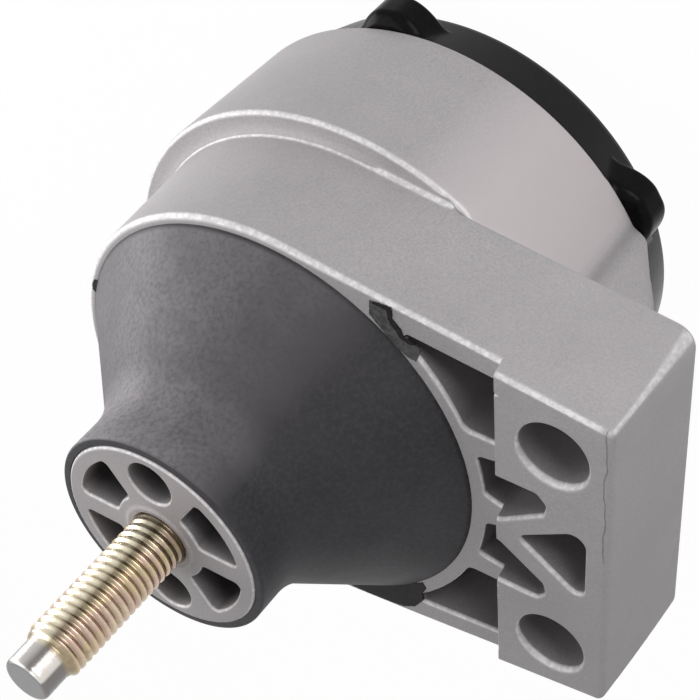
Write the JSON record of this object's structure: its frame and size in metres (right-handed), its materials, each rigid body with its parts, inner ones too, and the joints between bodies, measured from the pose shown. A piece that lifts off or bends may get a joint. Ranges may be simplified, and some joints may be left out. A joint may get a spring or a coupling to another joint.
{
  "type": "engine mount",
  "caption": "Fluid-filled engine mount: cast bracket and can, rubber spring with a cast core and a threaded stud, two bolt holes, black closing cap.",
  "frame": {"origin": "on the stud axis, at the seat of the core where the thread starts", "axes": "+Z along the stud and out of the core, +X from the stud to the middle between the two bolt holes, the can and its cap lie towards -Z"},
  "size_m": [0.1316, 0.108, 0.1482],
  "materials": {
    "cast_aluminium": "as cast, fine grain, warm grey",
    "core_aluminium": "as cast, machined seat",
    "zinc_steel": "yellow zinc plate",
    "black_rubber": "satin, as moulded",
    "plate_aluminium": "die cast",
    "inner_rubber": "matt",
    "washer_steel": "bare",
    "black_moulding": "satin, as moulded"
  },
  "bodies": {
    "root": {"housing": "cast_aluminium", "core": "core_aluminium", "engine_stud": "zinc_steel", "main_spring": "black_rubber", "track_plate_upper": "plate_aluminium", "track_plate_lower": "plate_aluminium", "decoupler_disc": "inner_rubber", "seal_ring": "inner_rubber", "diaphragm": "inner_rubber", "bead_washer": "washer_steel", "cap": "black_moulding"}
  },
  "joints": []
}
